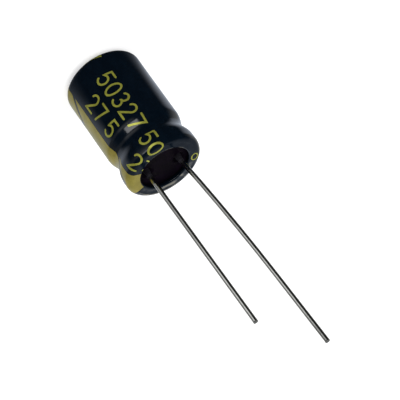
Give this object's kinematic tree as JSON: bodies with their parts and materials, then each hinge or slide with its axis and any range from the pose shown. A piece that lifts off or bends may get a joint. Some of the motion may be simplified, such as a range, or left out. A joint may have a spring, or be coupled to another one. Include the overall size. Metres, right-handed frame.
{
  "type": "radial electrolytic capacitor",
  "caption": "Sleeved round can with a rolled groove, a rubber bung and two wire leads of unequal length, a wound foil roll inside.",
  "frame": {"origin": "middle of the underside of the closed head, on which the part stands", "axes": "+Z along the can's axis from head to leads, +X from the axis towards the negative lead"},
  "size_m": [0.0082, 0.0082, 0.0381],
  "materials": {
    "sleeve_film": "glossy shrunk film, near black with a blue cast",
    "can_aluminium": "drawn, satin",
    "bung_rubber": "moulded, matt",
    "tinned_wire": "tinned, slightly dull",
    "tab_aluminium": "pressed, bright",
    "anode_foil": "etched, matt grey",
    "cathode_foil": "etched, pale",
    "separator_paper": "thin paper, soaked",
    "tape_film": "amber film tape"
  },
  "bodies": {
    "root": {"sleeve": "sleeve_film", "can": "can_aluminium", "sealing_bung": "bung_rubber", "positive_lead": "tinned_wire", "negative_lead": "tinned_wire", "anode_tab": "tab_aluminium", "cathode_tab": "tab_aluminium", "anode_foil": "anode_foil", "cathode_foil": "cathode_foil", "inner_separator": "separator_paper", "outer_separator": "separator_paper", "fixing_tape": "tape_film"}
  },
  "joints": []
}
